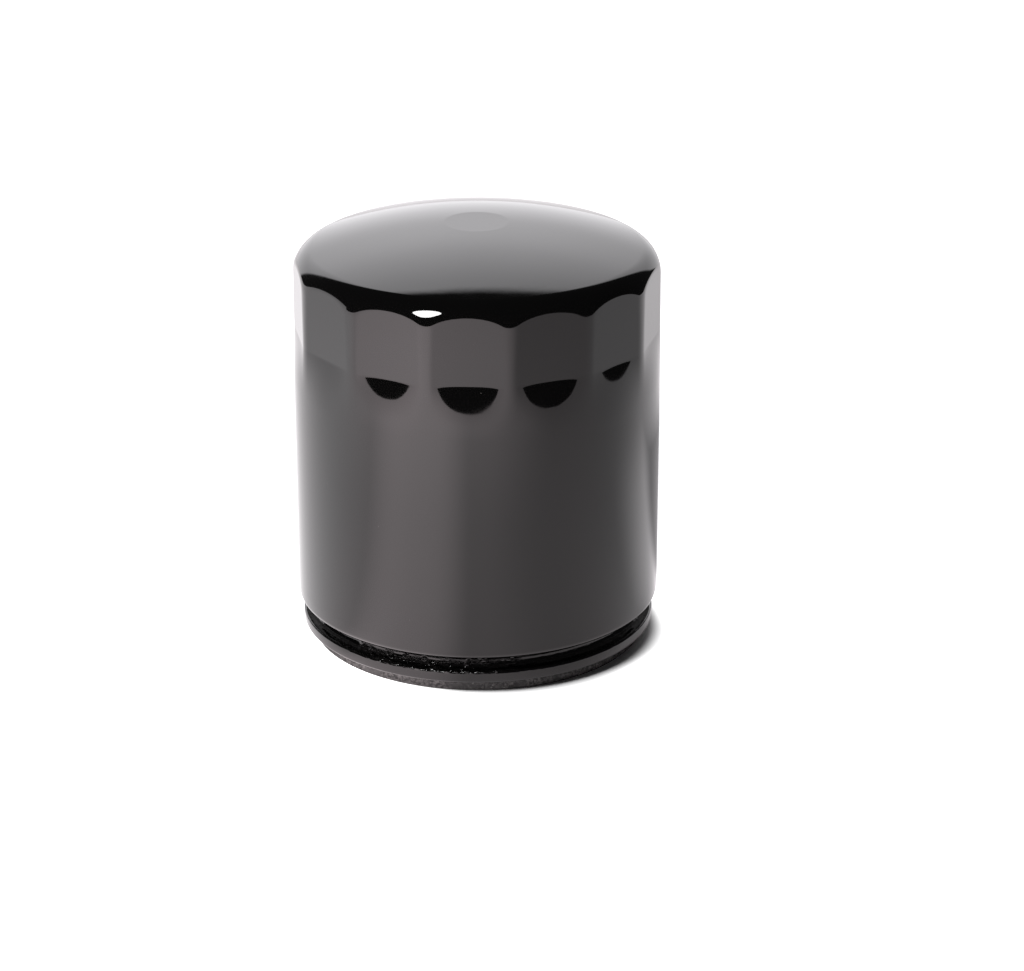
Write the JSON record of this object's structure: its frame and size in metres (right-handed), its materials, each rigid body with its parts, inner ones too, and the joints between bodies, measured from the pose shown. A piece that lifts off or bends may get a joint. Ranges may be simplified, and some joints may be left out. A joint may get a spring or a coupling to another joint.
{
  "type": "spin-on oil filter",
  "caption": "Spin-on engine oil filter: fluted steel can, seamed lid with gasket, threaded plate, and a paper element with bypass and anti-drainback valves inside.",
  "frame": {"origin": "centre of the mounting gasket's sealing face, on the thread's axis", "axes": "+Z along the thread's axis from the gasket to the domed wrench end; +X through the middle of one wrench flute"},
  "size_m": [0.076, 0.076, 0.0892],
  "materials": {
    "gloss_black_paint": "gloss black enamel",
    "tinned_steel": "tin-plated sheet",
    "oiled_steel": "bare, lightly oiled",
    "spring_steel": "drawn wire",
    "black_rubber": "moulded, matt",
    "red_rubber": "moulded silicone",
    "filter_paper": "resin-treated, pleated",
    "plastisol": "cured adhesive",
    "seam_compound": "cured sealing compound"
  },
  "bodies": {
    "housing": {"can": "gloss_black_paint", "seaming_lid": "tinned_steel", "seam_sealant": "seam_compound", "mounting_gasket": "black_rubber", "tapping_plate": "oiled_steel", "drainback_collar": "red_rubber", "element_spring": "spring_steel"},
    "drainback_flap": {"drainback_flap": "red_rubber"},
    "element": {"lower_end_cap": "tinned_steel", "lower_potting": "plastisol", "center_tube": "oiled_steel", "filter_media": "filter_paper", "media_seam_clip": "tinned_steel", "upper_potting": "plastisol", "upper_end_cap": "tinned_steel", "bypass_seat": "tinned_steel", "bypass_cage": "tinned_steel", "bypass_spring": "spring_steel", "spring_seat": "tinned_steel"},
    "bypass_valve": {"bypass_poppet": "oiled_steel", "bypass_seal": "black_rubber"}
  },
  "joints": [
    {"name": "drainback_lift", "type": "slide", "parent": "housing", "child": "drainback_flap", "axis": [0, 0, 1], "range_m": [0, 0.0012], "stiffness_N_per_m": 150, "springref_m": -0.0004},
    {"name": "element_float", "type": "slide", "parent": "housing", "child": "element", "axis": [0, 0, 1], "range_m": [0, 0.001], "stiffness_N_per_m": 3400, "springref_m": -0.006, "deforming": ["element_spring"]},
    {"name": "bypass_open", "type": "slide", "parent": "element", "child": "bypass_valve", "axis": [0, 0, -1], "range_m": [0, 0.003], "stiffness_N_per_m": 1700, "springref_m": -0.0078, "deforming": ["bypass_spring"]}
  ]
}
